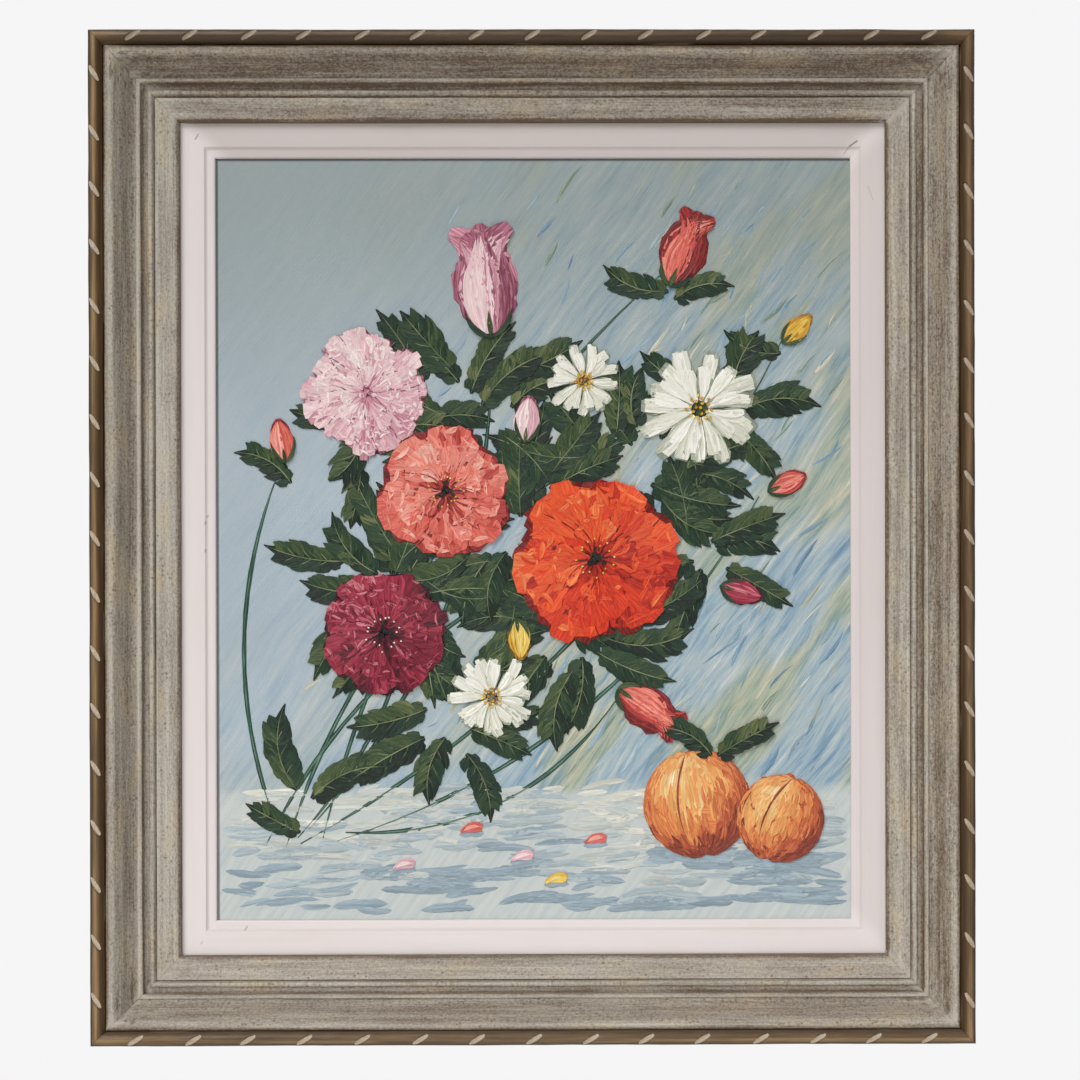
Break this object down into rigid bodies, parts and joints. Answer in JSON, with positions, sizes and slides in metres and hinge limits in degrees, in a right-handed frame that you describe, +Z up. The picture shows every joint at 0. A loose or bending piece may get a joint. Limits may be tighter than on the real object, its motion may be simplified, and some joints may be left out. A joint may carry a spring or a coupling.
{
  "type": "framed oil painting",
  "caption": "Oil painting on stretched canvas, in a white liner and a limed wood moulding with a nicked bead, hung by a toothed plate.",
  "frame": {"origin": "the notch in the middle of the hanger's teeth, in the plane of the moulding's back, where the nail takes the weight", "axes": "+Z up, -Y the way the picture faces, +Y into the wall, +X to the viewer's right"},
  "size_m": [0.6144, 0.0537, 0.7044],
  "materials": {
    "limed_wood": "grey-beige limed wash dragged along brown wood, bronze-brown outer bead with cream nicks",
    "white_liner": "warm white satin paint, worn at the edges",
    "painted_canvas": "oil paint in thick knife strokes on linen, satin sheen, bare cloth behind",
    "stretcher_wood": "plain planed pine, aged",
    "key_wood": "plain hardwood wedge",
    "steel": "dull zinc-plated steel"
  },
  "bodies": {
    "root": {"moulding_top": "limed_wood", "moulding_bottom": "limed_wood", "moulding_left": "limed_wood", "moulding_right": "limed_wood", "liner_top": "white_liner", "liner_bottom": "white_liner", "liner_left": "white_liner", "liner_right": "white_liner", "canvas": "painted_canvas", "stretcher_top": "stretcher_wood", "stretcher_bottom": "stretcher_wood", "stretcher_left": "stretcher_wood", "stretcher_right": "stretcher_wood", "key_top_a": "key_wood", "key_top_b": "key_wood", "key_bottom_a": "key_wood", "key_bottom_b": "key_wood", "key_left_a": "key_wood", "key_left_b": "key_wood", "key_right_a": "key_wood", "key_right_b": "key_wood", "framing_point_top_1": "steel", "framing_point_top_2": "steel", "framing_point_bottom_1": "steel", "framing_point_bottom_2": "steel", "framing_point_left_1": "steel", "framing_point_left_2": "steel", "framing_point_right_1": "steel", "framing_point_right_2": "steel", "hanger": "steel", "hanger_screw_1": "steel", "hanger_screw_2": "steel"}
  },
  "joints": []
}
